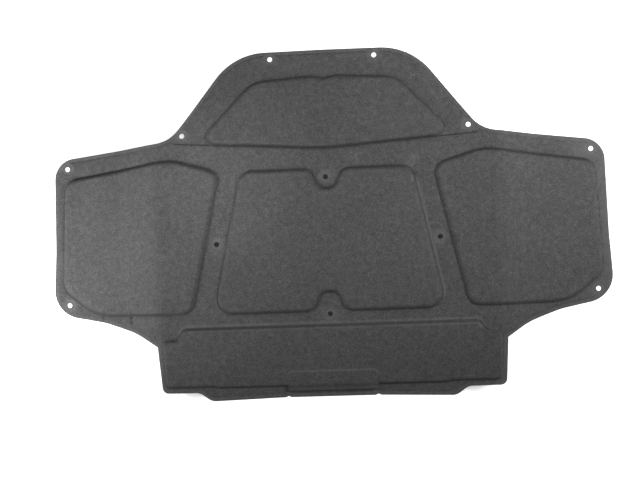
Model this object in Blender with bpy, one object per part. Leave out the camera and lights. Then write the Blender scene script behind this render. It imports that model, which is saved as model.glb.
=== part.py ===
"""Under-bonnet insulation pad: one moulded felt sheet with raised panels and clip holes.

The pad lies face up, as it comes to rest. X runs across the car, Y towards the nose of the pad and
+Z is the side that faces the engine. The centre field is flat. The two wings, the nose and the tail
fall away from it, so that the pad stands on its outer edges. The origin is on the floor, in the
middle of the pad's length and width.
"""

import math

import bmesh
import bpy

# Thicknesses and relief of the moulding
SHEET = 0.0040
RIM = 0.0028
RIM_WIDTH = 0.008
RIM_STEP = 0.003
PANEL_RISE = 0.0085
PANEL_ROLL = 0.010
BAND_RISE = 0.0070
BAND_ROLL = 0.006
TAB_RISE = 0.0025
TAB_ROLL = 0.003
CREASE_WIDTH = 0.004
CREASE_FLOOR = 0.0028
NECK_CREASE_DEPTH = 0.001

# Lengths along Y, one below the other from the nose to the lip
NOSE_LENGTH = 0.223
UPPER_RIB = 0.043
CENTRE_LENGTH = 0.314
LOWER_RIB = 0.030
BAND_LENGTH = 0.133
LIP_LENGTH = 0.028
LIP_SWEEP = 0.005
NOSE_CROWN = 0.0015

# Half widths of the outline, from the middle plane, and how far its other corners lie from them
NOSE_HALF = 0.198
NECK_HALF = 0.343
WING_HALF = 0.624
WING_TOP_INSET = 0.013
WING_WAIST_INSET = 0.0085
WING_UNDER_INSET = 0.119
TAIL_HALF = 0.383
NOTCH_FLARE = 0.002
WING_SWEEP_RUN = 0.045
LIP_INSET = 0.111

# Heights of the outline's corners above the top edge of the centre panel
NECK_HEIGHT = 0.071
WING_TOP_HEIGHT = 0.041
WING_WAIST_DROP = 0.164
WING_FOOT_DROP = 0.304
WING_UNDER_DROP = 0.326
WING_SWEEP_DROP = 0.352
NOTCH_DROP = 0.382

# Rounds of the outline
NOSE_ROUND = 0.140
NECK_ROUND = 0.075
WING_TOP_ROUND = 0.048
WAIST_ROUND = 0.300
WING_FOOT_ROUND = 0.062
WING_UNDER_ROUND = 0.160
WING_SWEEP_ROUND = 0.150
TAIL_ROUND = 0.014
LIP_ROUND = 0.025

# Nose panel
NOSE_BORDER = 0.058
NOSE_PANEL_SHOULDER_INSET = 0.040
NOSE_PANEL_SHOULDER_DROP = 0.009
NOSE_PANEL_FOOT_INSET = 0.077
NOSE_PANEL_FOOT_LIFT = 0.040
NOSE_PANEL_HEEL_INSET = 0.095
NOSE_DIP_HALF = 0.026
NOSE_DIP = 0.007
NOSE_DIP_ROUND = 0.026
NOSE_PANEL_SHOULDER_ROUND = 0.060
NOSE_PANEL_FOOT_ROUND = 0.024
NOSE_PANEL_HEEL_ROUND = 0.020
CREASE_RISE = 0.068
CREASE_ROUND = 0.700

# Centre panel
CENTRE_TOP_HALF = 0.188
CENTRE_FOOT_HALF = 0.255
CENTRE_TOP_ROUND = 0.032
CENTRE_FOOT_ROUND = 0.036
POCKET_MOUTH_HALF = 0.036
POCKET_FLOOR_HALF = 0.018
POCKET_DEPTH = 0.0425
POCKET_ROUND = 0.024

# Wing panels
SIDE_RIB_TOP = 0.046
SIDE_RIB_FOOT = 0.049
WING_PANEL_PEAK_INSET = 0.003
WING_PANEL_PEAK = 0.031
WING_PANEL_INNER_TOP_DROP = 0.001
WING_PANEL_OUTER_TOP_DROP = 0.003
WING_BORDER = 0.024
WING_PANEL_FOOT_DROP = 0.250
WING_PANEL_UNDER_INSET = 0.102
WING_PANEL_UNDER_DROP = 0.311
WING_PANEL_ROUND = 0.028
WING_PANEL_PEAK_ROUND = 0.110
WING_PANEL_FOOT_ROUND = 0.048

# Tail band and its tab
BAND_BORDER = 0.011
BAND_SHOULDER_INSET = 0.048
BAND_STEP_INSET = 0.034
BAND_STEP = 0.024
BAND_ROUND = 0.011
BAND_JOG_INSET = 0.014
BAND_JOG = 0.003
TAB_HALF = 0.100
TAB_LENGTH = 0.047
TAB_OVERHANG = 0.014
TAB_ROUND = 0.012
TAB_FOOT_ROUND = 0.009
TAB_NICK_HALF = 0.006
TAB_NICK_DEPTH = 0.003

# Clip holes: radius, and each pair's place from the middle plane and the centre panel's top edge
HOLE_RADIUS = 0.0055
SEAT_RADIUS = 0.0135
SEAT_THICKNESS = 0.0026
POCKET_HOLE_INSET = 0.019
LOWER_HOLE_DROP = 0.0055
NOSE_HOLE_INSET = 0.082
NOSE_HOLE_BORDER = 0.017
NECK_HOLE_INSET = 0.028
NECK_HOLE_LIFT = 0.012
RIB_HOLE_SHARE = 0.506
WING_HOLE_BORDER = 0.028
WING_HOLE_DEPTH = 0.019
FOOT_HOLE_BORDER = 0.035
FOOT_HOLE_LIFT = 0.019

# Fall of the outer parts below the flat centre field
CENTRE_HEIGHT = 0.028
WING_BEND_OUTSET = 0.033
WING_RIDGE = 0.0105
WING_RIDGE_RUN = 0.060
WING_KNEE_RUN = 0.084
WING_KNEE_FALL = 0.0165
WING_TOE = 0.065
NOSE_KNEE = 0.090
NOSE_KNEE_FALL = 0.0155
NOSE_TOE = 0.045
TAIL_BEND_DROP = 0.010
TAIL_TOE = 0.024
BEND_RADIUS_RUN = 0.018
SOFT_BEND_CUTS = 3

# Resolution of the rounds, and the play that cutters and joins are given
ARC_ERROR = 0.0003
ROUND_REACH = 0.49
STRAIGHT = math.radians(1)
SHARP = math.radians(35)
HOLE_SEGMENTS = 16
SEAT_SEGMENTS = 24
ROLL_STEPS = 3
BURIED = 0.001
OVERSHOOT = 0.01
SAME = 0.000001
WELD = 0.00002

# Finish of the felt
FELT_COLOUR = (0.088, 0.089, 0.092, 1)
FELT_ROUGHNESS = 0.92

# Levels along Y that follow from the lengths
PAD_LENGTH = NOSE_LENGTH + UPPER_RIB + CENTRE_LENGTH + LOWER_RIB + BAND_LENGTH + LIP_LENGTH + LIP_SWEEP
NOSE_Y = PAD_LENGTH / 2
CREASE_Y = NOSE_Y - NOSE_LENGTH
CENTRE_Y = CREASE_Y - UPPER_RIB
CENTRE_FOOT_Y = CENTRE_Y - CENTRE_LENGTH
BAND_Y = CENTRE_FOOT_Y - LOWER_RIB
BAND_FOOT_Y = BAND_Y - BAND_LENGTH
LIP_Y = BAND_FOOT_Y - LIP_LENGTH
TAIL_Y = BAND_FOOT_Y - RIM_WIDTH - RIM_STEP - CREASE_WIDTH / 2
TAIL_END_Y = LIP_Y - LIP_SWEEP

# Places across the pad that follow from the half widths
WING_TOP_HALF = WING_HALF - WING_TOP_INSET
LIP_HALF = TAIL_HALF - LIP_INSET
NOTCH_HALF = TAIL_HALF + NOTCH_FLARE
NOSE_PANEL_HEEL_HALF = NECK_HALF - NOSE_PANEL_HEEL_INSET
WING_INNER_TOP_HALF = CENTRE_TOP_HALF + SIDE_RIB_TOP
WING_INNER_FOOT_HALF = CENTRE_FOOT_HALF + SIDE_RIB_FOOT
WING_BEND_HALF = NECK_HALF + WING_BEND_OUTSET


def new_collection(name):
    collection = bpy.data.collections.new(name)
    bpy.context.scene.collection.children.link(collection)
    return collection


def rounded(corners):
    """Points of a closed outline whose corners (x, y, radius) are rounded by arcs."""
    points = []
    count = len(corners)
    for index, (x, y, radius) in enumerate(corners):
        before = corners[index - 1]
        after = corners[(index + 1) % count]
        in_x, in_y = before[0] - x, before[1] - y
        out_x, out_y = after[0] - x, after[1] - y
        in_length = math.hypot(in_x, in_y)
        out_length = math.hypot(out_x, out_y)
        in_x, in_y = in_x / in_length, in_y / in_length
        out_x, out_y = out_x / out_length, out_y / out_length
        opening = math.acos(max(-1.0, min(1.0, in_x * out_x + in_y * out_y)))
        turn = math.pi - opening
        if radius <= 0 or turn < STRAIGHT:
            points.append((x, y))
            continue
        reach = min(radius * math.tan(turn / 2), ROUND_REACH * in_length, ROUND_REACH * out_length)
        radius = reach / math.tan(turn / 2)
        middle = radius / math.sin(opening / 2)
        bisector = math.hypot(in_x + out_x, in_y + out_y)
        centre_x = x + (in_x + out_x) / bisector * middle
        centre_y = y + (in_y + out_y) / bisector * middle
        start = math.atan2(y + in_y * reach - centre_y, x + in_x * reach - centre_x)
        side = 1 if in_x * out_y - in_y * out_x < 0 else -1
        step_angle = 2 * math.acos(max(0.0, 1 - ARC_ERROR / radius))
        steps = max(1, math.ceil(turn / step_angle))
        for step in range(steps + 1):
            angle = start + side * turn * step / steps
            points.append((centre_x + radius * math.cos(angle), centre_y + radius * math.sin(angle)))
    return points


def mirrored(half):
    """The whole outline's corners from those of its right half, listed from top to bottom."""
    return half + [(-x, y, radius) for x, y, radius in reversed(half) if x > 0]


def flipped(corners):
    """The left twin of a loop of corners, with the same direction of travel."""
    return [(-x, y, radius) for x, y, radius in reversed(corners)]


def outline_corners():
    """Cut edge of the pad."""
    return mirrored([
        (0, NOSE_Y, 0),
        (NOSE_HALF, NOSE_Y - NOSE_CROWN, NOSE_ROUND),
        (NECK_HALF, CENTRE_Y + NECK_HEIGHT, NECK_ROUND),
        (WING_TOP_HALF, CENTRE_Y + WING_TOP_HEIGHT, WING_TOP_ROUND),
        (WING_HALF - WING_WAIST_INSET, CENTRE_Y - WING_WAIST_DROP, WAIST_ROUND),
        (WING_HALF, CENTRE_Y - WING_FOOT_DROP, WING_FOOT_ROUND),
        (WING_HALF - WING_UNDER_INSET, CENTRE_Y - WING_UNDER_DROP, WING_UNDER_ROUND),
        (NOTCH_HALF + WING_SWEEP_RUN, CENTRE_Y - WING_SWEEP_DROP, WING_SWEEP_ROUND),
        (NOTCH_HALF, CENTRE_Y - NOTCH_DROP, 0),
        (TAIL_HALF, TAIL_Y, TAIL_ROUND),
        (LIP_HALF + LIP_LENGTH, TAIL_Y, LIP_ROUND),
        (LIP_HALF, TAIL_END_Y, LIP_ROUND),
        (TAB_HALF + TAB_NICK_HALF, LIP_Y, 0),
        (TAB_HALF, LIP_Y + TAB_NICK_DEPTH, 0),
        (TAB_HALF - TAB_NICK_HALF, LIP_Y, 0),
        (0, LIP_Y, 0),
    ])


def crease_height(x):
    """The nose bends along two lines that rise from the middle plane to the necks."""
    return CREASE_Y + CREASE_RISE * abs(x)


def nose_panel_corners():
    """Trapezoid in the nose, with a shallow dip in the middle of its upper edge."""
    top = NOSE_Y - NOSE_BORDER
    return mirrored([
        (0, top - NOSE_DIP, 0),
        (NOSE_DIP_HALF, top, NOSE_DIP_ROUND),
        (NOSE_HALF - NOSE_PANEL_SHOULDER_INSET, top - NOSE_PANEL_SHOULDER_DROP, NOSE_PANEL_SHOULDER_ROUND),
        (NECK_HALF - NOSE_PANEL_FOOT_INSET, CREASE_Y + NOSE_PANEL_FOOT_LIFT, NOSE_PANEL_FOOT_ROUND),
        (NOSE_PANEL_HEEL_HALF, crease_height(NOSE_PANEL_HEEL_HALF), NOSE_PANEL_HEEL_ROUND),
        (0, CREASE_Y, CREASE_ROUND),
    ])


def centre_panel_corners():
    """Wide panel with a round pocket at its top and bottom edge for the middle clips."""
    pocket_top = CENTRE_Y - POCKET_DEPTH
    pocket_foot = CENTRE_FOOT_Y + POCKET_DEPTH
    return mirrored([
        (POCKET_FLOOR_HALF, pocket_top, POCKET_ROUND),
        (POCKET_MOUTH_HALF, CENTRE_Y, POCKET_ROUND),
        (CENTRE_TOP_HALF, CENTRE_Y, CENTRE_TOP_ROUND),
        (CENTRE_FOOT_HALF, CENTRE_FOOT_Y, CENTRE_FOOT_ROUND),
        (POCKET_MOUTH_HALF, CENTRE_FOOT_Y, POCKET_ROUND),
        (POCKET_FLOOR_HALF, pocket_foot, POCKET_ROUND),
    ])


def wing_panel_corners():
    """Right wing's panel. Its outer edges follow the outline at the wing's border."""
    return [
        (WING_INNER_TOP_HALF, CENTRE_Y - WING_PANEL_INNER_TOP_DROP, WING_PANEL_ROUND),
        (NECK_HALF - WING_PANEL_PEAK_INSET, CENTRE_Y + WING_PANEL_PEAK, WING_PANEL_PEAK_ROUND),
        (WING_TOP_HALF - WING_BORDER, CENTRE_Y - WING_PANEL_OUTER_TOP_DROP, WING_PANEL_ROUND),
        (WING_HALF - WING_BORDER, CENTRE_Y - WING_PANEL_FOOT_DROP, WING_PANEL_FOOT_ROUND),
        (WING_HALF - WING_PANEL_UNDER_INSET, CENTRE_Y - WING_PANEL_UNDER_DROP, WING_PANEL_PEAK_ROUND),
        (WING_INNER_FOOT_HALF, CENTRE_Y - WING_PANEL_UNDER_DROP, WING_PANEL_ROUND),
    ]


def band_corners():
    """Long low panel across the tail, stepped at its upper corners."""
    side = TAIL_HALF - BAND_BORDER
    jog = LIP_HALF - BAND_JOG_INSET
    return mirrored([
        (0, BAND_Y, 0),
        (side - BAND_SHOULDER_INSET, BAND_Y, BAND_ROUND),
        (side - BAND_STEP_INSET, BAND_Y - BAND_STEP, BAND_ROUND),
        (side, BAND_Y - BAND_STEP, BAND_ROUND),
        (side, BAND_FOOT_Y, BAND_ROUND),
        (jog + BAND_JOG, BAND_FOOT_Y, 0),
        (jog - BAND_JOG, BAND_FOOT_Y - BAND_JOG, 0),
        (0, BAND_FOOT_Y - BAND_JOG, 0),
    ])


def tab_corners():
    """Finger tab across the band's lower edge."""
    foot = BAND_FOOT_Y - TAB_OVERHANG
    return mirrored([
        (0, foot + TAB_LENGTH, 0),
        (TAB_HALF, foot + TAB_LENGTH, TAB_ROUND),
        (TAB_HALF, foot, TAB_FOOT_ROUND),
        (0, foot, 0),
    ])


def clip_places():
    """Centres of the twelve clip holes."""
    rib_top = CENTRE_TOP_HALF + SIDE_RIB_TOP / 2
    rib_foot = CENTRE_FOOT_HALF + SIDE_RIB_FOOT / 2
    pairs = [
        (NOSE_HALF - NOSE_HOLE_INSET, NOSE_Y - NOSE_HOLE_BORDER),
        (NECK_HALF - NECK_HOLE_INSET, CENTRE_Y + NECK_HEIGHT + NECK_HOLE_LIFT),
        (WING_TOP_HALF - WING_HOLE_BORDER, CENTRE_Y + WING_TOP_HEIGHT - WING_HOLE_DEPTH),
        (WING_HALF - FOOT_HOLE_BORDER, CENTRE_Y - WING_FOOT_DROP + FOOT_HOLE_LIFT),
        (rib_top + (rib_foot - rib_top) * RIB_HOLE_SHARE, CENTRE_Y - CENTRE_LENGTH * RIB_HOLE_SHARE),
    ]
    places = [(0, CENTRE_Y - POCKET_HOLE_INSET), (0, CENTRE_FOOT_Y - LOWER_HOLE_DROP)]
    for x, y in pairs:
        places += [(x, y), (-x, y)]
    return places


def curve_to_mesh(curve_object, collection):
    """Turn a curve object into a welded mesh object at the same place."""
    depsgraph = bpy.context.evaluated_depsgraph_get()
    mesh = bpy.data.meshes.new_from_object(curve_object.evaluated_get(depsgraph))
    name = curve_object.name
    matrix = curve_object.matrix_world.copy()
    bpy.data.objects.remove(curve_object)
    mesh.transform(matrix)
    solid = bpy.data.objects.new(name, mesh)
    collection.objects.link(solid)
    work = bmesh.new()
    work.from_mesh(mesh)
    bmesh.ops.remove_doubles(work, verts=work.verts, dist=SAME)
    bmesh.ops.recalc_face_normals(work, faces=work.faces)
    merge_caps(work)
    work.to_mesh(mesh)
    work.free()
    return solid


def merge_caps(work):
    """Make each flat cap of a plate one face."""
    levels = [vert.co.z for vert in work.verts]
    for level in (min(levels), max(levels)):
        cap = [face for face in work.faces if abs(face.calc_center_median().z - level) < SAME]
        if len(cap) > 1:
            bmesh.ops.dissolve_faces(work, faces=cap)


def slab(name, points, bottom, top, collection, grow=0.0):
    """Flat plate of the outline, from bottom to top, grown sideways by grow."""
    curve = bpy.data.curves.new(name, "CURVE")
    curve.dimensions = "2D"
    curve.fill_mode = "BOTH"
    curve.extrude = (top - bottom) / 2
    curve.offset = grow
    spline = curve.splines.new("POLY")
    spline.points.add(len(points) - 1)
    for point, (x, y) in zip(spline.points, points):
        point.co = (x, y, 0, 1)
    spline.use_cyclic_u = True
    plate = bpy.data.objects.new(name, curve)
    plate.location.z = (bottom + top) / 2
    collection.objects.link(plate)
    bpy.context.view_layer.update()
    return curve_to_mesh(plate, collection)


def raise_top(solid, steps):
    """Inset and lift the top face once for each (inset, lift) step."""
    mesh = solid.data
    work = bmesh.new()
    work.from_mesh(mesh)
    level = max(vert.co.z for vert in work.verts)
    region = [face for face in work.faces if face.calc_center_median().z > level - SAME]
    for inset, lift in steps:
        bmesh.ops.inset_region(work, faces=region, thickness=inset, depth=lift, use_even_offset=True)
    work.to_mesh(mesh)
    work.free()


def rolled_edge(run, rise):
    """Steps of a quarter ellipse: run wide and rise tall."""
    steps = []
    last = (0.0, 0.0)
    for index in range(1, ROLL_STEPS + 1):
        angle = math.pi / 2 * index / ROLL_STEPS
        place = (run * (1 - math.cos(angle)), rise * math.sin(angle))
        steps.append((place[0] - last[0], place[1] - last[1]))
        last = place
    return steps


def raised_panel(name, corners, bottom, base, rise, roll, collection):
    """Panel block that stands on level base and starts at bottom, inside what carries it."""
    panel = slab(name, rounded(corners), bottom, base, collection)
    raise_top(panel, rolled_edge(roll, rise))
    return panel


def upright(name, x, y, radius, bottom, top, segments, collection):
    """Vertical cylinder between two levels."""
    mesh = bpy.data.meshes.new(name)
    work = bmesh.new()
    bmesh.ops.create_cone(
        work, cap_ends=True, segments=segments, radius1=radius, radius2=radius, depth=top - bottom)
    work.to_mesh(mesh)
    work.free()
    post = bpy.data.objects.new(name, mesh)
    post.location = (x, y, (bottom + top) / 2)
    collection.objects.link(post)
    return post


def crease_wire(name, side, collection):
    """Round bar that presses the crease between the nose panel and the neck."""
    curve = bpy.data.curves.new(name, "CURVE")
    curve.dimensions = "3D"
    curve.bevel_depth = CREASE_WIDTH / 2
    curve.bevel_resolution = 1
    curve.use_fill_caps = True
    spline = curve.splines.new("POLY")
    spline.points.add(1)
    starts = (NOSE_PANEL_HEEL_HALF - CREASE_WIDTH, NECK_HALF - RIM_WIDTH - RIM_STEP)
    for point, x in zip(spline.points, starts):
        point.co = (side * x, crease_height(x), SHEET + CREASE_WIDTH / 2 - NECK_CREASE_DEPTH, 1)
    wire = bpy.data.objects.new(name, curve)
    collection.objects.link(wire)
    bpy.context.view_layer.update()
    return curve_to_mesh(wire, collection)


def combine(target, tools, operation):
    """Boolean the tools into the target, one after another, and keep the result as its mesh."""
    for tool in tools:
        modifier = target.modifiers.new(tool.name, "BOOLEAN")
        modifier.operation = operation
        modifier.solver = "EXACT"
        modifier.object = tool
    bpy.context.view_layer.update()
    depsgraph = bpy.context.evaluated_depsgraph_get()
    mesh = bpy.data.meshes.new_from_object(target.evaluated_get(depsgraph))
    target.modifiers.clear()
    target.data = mesh


def soft_profile(distance, knots):
    """Height of a profile through knots (distance, height) whose corners are soft bends."""
    height = knots[0][1]
    slope = 0.0
    run = BEND_RADIUS_RUN
    for index in range(len(knots) - 1):
        here, level = knots[index]
        there, next_level = knots[index + 1]
        next_slope = (next_level - level) / (there - here)
        change = next_slope - slope
        beyond = distance - here
        if beyond > run:
            height += change * beyond
        elif beyond > -run:
            height += change * (beyond + run) ** 2 / (4 * run)
        slope = next_slope
    return height


def wing_knots():
    """Fall of a wing along X: a low ridge, a steep start, a knee and a flat toe."""
    toe = WING_HALF - WING_TOE
    return [
        (WING_BEND_HALF - WING_RIDGE_RUN, 0),
        (WING_BEND_HALF, WING_RIDGE),
        (WING_BEND_HALF + WING_KNEE_RUN, -WING_KNEE_FALL),
        (toe, -CENTRE_HEIGHT),
        (toe + WING_TOE, -CENTRE_HEIGHT),
    ]


def nose_knots():
    """Fall of the nose, by the distance beyond the crease."""
    toe = NOSE_LENGTH - NOSE_TOE
    return [(0, 0), (NOSE_KNEE, -NOSE_KNEE_FALL), (toe, -CENTRE_HEIGHT), (NOSE_LENGTH, -CENTRE_HEIGHT)]


def tail_knots():
    """Fall of the tail, by the distance below the upper edge of the band."""
    toe = BAND_Y - TAIL_END_Y - TAIL_TOE
    return [(TAIL_BEND_DROP, 0), (toe, -CENTRE_HEIGHT), (toe + TAIL_TOE, -CENTRE_HEIGHT)]


def fall(x, y):
    """Height of the pad's back above the floor, which no two falls together go below."""
    height = CENTRE_HEIGHT
    height *= 1 + soft_profile(abs(x), wing_knots()) / CENTRE_HEIGHT
    height *= 1 + soft_profile(y - crease_height(x), nose_knots()) / CENTRE_HEIGHT
    height *= 1 + soft_profile(BAND_Y - y, tail_knots()) / CENTRE_HEIGHT
    return height


def bend_lines(knots):
    """Distances at which a soft bend's facets meet."""
    lines = []
    for distance, _level in knots[:-1]:
        for index in range(SOFT_BEND_CUTS):
            part = index / (SOFT_BEND_CUTS - 1)
            lines.append(distance + BEND_RADIUS_RUN * (2 * part - 1))
    return lines


def bend(pad):
    """Cut the mesh along the bends' facet lines and let the outer parts fall."""
    mesh = pad.data
    work = bmesh.new()
    work.from_mesh(mesh)
    planes = [((0, 0, 0), (1, 0, 0))]
    for side in (1, -1):
        for distance in bend_lines(wing_knots()):
            planes.append(((side * distance, 0, 0), (1, 0, 0)))
    for distance in bend_lines(tail_knots()):
        planes.append(((0, BAND_Y - distance, 0), (0, 1, 0)))
    for point, normal in planes:
        cut(work, list(work.faces), point, normal)
    for side in (1, -1):
        for distance in bend_lines(nose_knots()):
            half = [face for face in work.faces if face.calc_center_median().x * side > 0]
            cut(work, half, (0, CREASE_Y + distance, 0), (-side * CREASE_RISE, 1, 0))
    for vert in work.verts:
        vert.co.z += fall(vert.co.x, vert.co.y)
    bmesh.ops.remove_doubles(work, verts=work.verts, dist=WELD)
    bmesh.ops.dissolve_degenerate(work, edges=work.edges, dist=WELD)
    bmesh.ops.triangulate(work, faces=work.faces)
    bmesh.ops.recalc_face_normals(work, faces=work.faces)
    work.to_mesh(mesh)
    work.free()


def cut(work, faces, point, normal):
    """Split the faces along a plane and keep both sides."""
    edges = {edge for face in faces for edge in face.edges}
    verts = {vert for face in faces for vert in face.verts}
    bmesh.ops.bisect_plane(
        work, geom=faces + list(edges) + list(verts), plane_co=point, plane_no=normal, dist=SAME)


def felt_material():
    """Charcoal needled felt with a non-woven facing."""
    material = bpy.data.materials.new("charcoal_felt")
    material.use_nodes = True
    shader = material.node_tree.nodes["Principled BSDF"]
    shader.inputs["Base Color"].default_value = FELT_COLOUR
    shader.inputs["Roughness"].default_value = FELT_ROUGHNESS
    shader.inputs["Metallic"].default_value = 0.0
    material.diffuse_color = FELT_COLOUR
    return material


def build_pad(parts, cutters):
    """The whole moulding, modelled flat and then bent."""
    pad = slab("insulation_pad", rounded(outline_corners()), 0, RIM, parts)
    raise_top(pad, [(RIM_WIDTH, 0), (RIM_STEP, SHEET - RIM)])

    panel_loops = {
        "nose_panel": nose_panel_corners(),
        "centre_panel": centre_panel_corners(),
        "right_wing_panel": wing_panel_corners(),
        "left_wing_panel": flipped(wing_panel_corners()),
        "tail_band": band_corners(),
    }
    top = SHEET + OVERSHOOT
    creases = [
        slab(name + "_crease", rounded(loop), CREASE_FLOOR, top, cutters, CREASE_WIDTH)
        for name, loop in panel_loops.items()
    ]
    creases += [crease_wire("neck_crease_right", 1, cutters), crease_wire("neck_crease_left", -1, cutters)]
    combine(pad, creases, "DIFFERENCE")

    panels = []
    for name, loop in panel_loops.items():
        rise, roll = (BAND_RISE, BAND_ROLL) if name == "tail_band" else (PANEL_RISE, PANEL_ROLL)
        panels.append(raised_panel(name, loop, BURIED, SHEET, rise, roll, cutters))
    tab_base = SHEET + BAND_RISE - BURIED
    tab_rise = TAB_RISE + BURIED
    panels.append(raised_panel("tab", tab_corners(), BURIED, tab_base, tab_rise, TAB_ROLL, cutters))
    combine(pad, panels, "UNION")

    seats = []
    holes = []
    for index, (x, y) in enumerate(clip_places()):
        label = f"clip_{index + 1:02d}"
        seats.append(upright(label + "_seat", x, y, SEAT_RADIUS, SEAT_THICKNESS, top, SEAT_SEGMENTS, cutters))
        holes.append(upright(label + "_hole", x, y, HOLE_RADIUS, -OVERSHOOT, top, HOLE_SEGMENTS, cutters))
    combine(pad, seats + holes, "DIFFERENCE")

    bend(pad)
    pad.data.shade_smooth()
    pad.data.set_sharp_from_angle(angle=SHARP)
    pad.data.materials.clear()
    pad.data.materials.append(felt_material())
    for tool in cutters.objects:
        tool.hide_render = True
        tool.display_type = "WIRE"


def main():
    for item in list(bpy.data.objects):
        bpy.data.objects.remove(item)
    parts = new_collection("hood_insulation_pad")
    cutters = new_collection("cutters")
    build_pad(parts, cutters)


main()
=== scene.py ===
# %% [markdown]
# # A moulded felt pad for the underside of a bonnet
#
# The real pad is one sheet of felt. Two hot moulds press it: where they close tightly the felt is thin
# and hard, and where they leave room it stays thick and soft. That is all the relief there is, so the
# pad is one closed mesh here, and its felt is one material.
#
# The CAD model is loaded first. Everything after it is in metres in the same frame, so the pad lies
# exactly where the CAD solid lies.

# %% Load the frame
import math

import bpy
import numpy as np
from mathutils import Matrix, Vector, noise
from mathutils.geometry import delaunay_2d_cdt


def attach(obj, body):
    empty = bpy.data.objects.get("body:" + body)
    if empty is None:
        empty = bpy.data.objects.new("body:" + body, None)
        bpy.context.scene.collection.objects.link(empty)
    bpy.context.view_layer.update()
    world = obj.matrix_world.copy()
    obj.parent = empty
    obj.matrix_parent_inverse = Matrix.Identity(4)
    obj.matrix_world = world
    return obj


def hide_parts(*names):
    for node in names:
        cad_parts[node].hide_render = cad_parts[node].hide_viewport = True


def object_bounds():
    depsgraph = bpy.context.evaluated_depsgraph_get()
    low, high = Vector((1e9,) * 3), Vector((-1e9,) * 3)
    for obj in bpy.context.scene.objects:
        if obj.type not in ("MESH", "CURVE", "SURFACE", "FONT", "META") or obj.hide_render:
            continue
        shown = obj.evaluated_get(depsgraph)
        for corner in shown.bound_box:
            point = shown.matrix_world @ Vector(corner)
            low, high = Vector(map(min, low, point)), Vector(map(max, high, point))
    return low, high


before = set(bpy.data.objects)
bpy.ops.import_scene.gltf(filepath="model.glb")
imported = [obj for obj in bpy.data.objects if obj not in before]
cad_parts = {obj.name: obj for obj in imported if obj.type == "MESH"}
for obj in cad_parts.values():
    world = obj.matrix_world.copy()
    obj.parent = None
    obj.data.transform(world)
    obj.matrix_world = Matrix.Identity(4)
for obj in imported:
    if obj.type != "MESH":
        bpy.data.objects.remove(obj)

cad_low, cad_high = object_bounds()
print("CAD box", [round(high - low, 4) for low, high in zip(cad_low, cad_high)])

# %% [markdown]
# ## The camera
#
# The photograph looks straight at the pad with a normal lens. The places of the twelve holes in the
# photograph fix the camera: a 50 mm lens nearly two metres away, turned a little about its own axis.
# A world point is first turned and then shifted into the camera's space, so the camera itself stands
# at the reverse of both.

# %% Place the camera
LENS = 50.0
SENSOR = 36.0
CAMERA_YAW = math.radians(-2.912)
CAMERA_ROLL = math.radians(2.07)
CAMERA_SHIFT = Vector((0.017, 0.0358, -1.979))

camera_data = bpy.data.cameras.new("photo_camera")
camera_data.lens = LENS
camera_data.sensor_width = SENSOR
camera = bpy.data.objects.new("photo_camera", camera_data)
bpy.context.scene.collection.objects.link(camera)
camera_turn = Matrix.Rotation(CAMERA_ROLL, 3, "Z") @ Matrix.Rotation(CAMERA_YAW, 3, "Y")
from_camera = camera_turn.transposed()
camera.matrix_world = Matrix.Translation(from_camera @ -CAMERA_SHIFT) @ from_camera.to_4x4()
bpy.context.scene.camera = camera
print("camera at", [round(value, 3) for value in camera.matrix_world.translation])

# %% [markdown]
# ## The sizes of the moulding
#
# These are the sizes of the CAD source, so the fine mesh and the solid have the same outline, panels
# and holes. The levels along Y run down from the nose, whose place the frame gives, to the end of the
# lip. The widths are half widths, because the pad is the same on both sides of its middle plane.

# %% Thicknesses and relief
SHEET = 0.0040
RIM = 0.0028
RIM_WIDTH = 0.008
RIM_STEP = 0.003
CREASE_FLOOR = 0.0028
CREASE_RUN = 0.005
PANEL_TOP = SHEET + 0.0085
PANEL_ROLL = 0.010
BAND_TOP = SHEET + 0.0070
BAND_ROLL = 0.006
TAB_TOP = BAND_TOP + 0.0025
TAB_ROLL = 0.003
print("felt of", SHEET, "m, panels", PANEL_TOP, "band", BAND_TOP, "tab", round(TAB_TOP, 4))

# %% Levels along the pad
NOSE_Y = round(cad_high[1], 4)
CREASE_Y = NOSE_Y - 0.223
CENTRE_Y = CREASE_Y - 0.043
CENTRE_FOOT_Y = CENTRE_Y - 0.314
BAND_Y = CENTRE_FOOT_Y - 0.030
BAND_FOOT_Y = BAND_Y - 0.133
TAIL_Y = BAND_FOOT_Y - 0.013
LIP_Y = BAND_FOOT_Y - 0.028
TAIL_END_Y = LIP_Y - 0.005
print("from the nose at", NOSE_Y, "to the end of the lip at", round(TAIL_END_Y, 4))

# %% Half widths that several shapes share
NOSE_HALF = 0.198
NECK_HALF = 0.343
WING_HALF = 0.624
WING_TOP_HALF = WING_HALF - 0.013
TAIL_HALF = 0.383
LIP_HALF = TAIL_HALF - 0.111
TAB_HALF = 0.100
print("corners of the wings at", WING_HALF, "and of the tail at", TAIL_HALF)

# %% [markdown]
# ## Outlines with rounded corners
#
# A mould maker draws such a part as corner points with a radius each. `rounded` replaces each corner
# by an arc that touches both sides. A curve object with bevelled corners could do the same, but its
# points are needed as numbers below, to measure how far each spot of the felt is from each edge.

# %% Round the corners of a loop
ARC_ERROR = 0.00006
ROUND_REACH = 0.49
STRAIGHT = math.radians(1)


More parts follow.
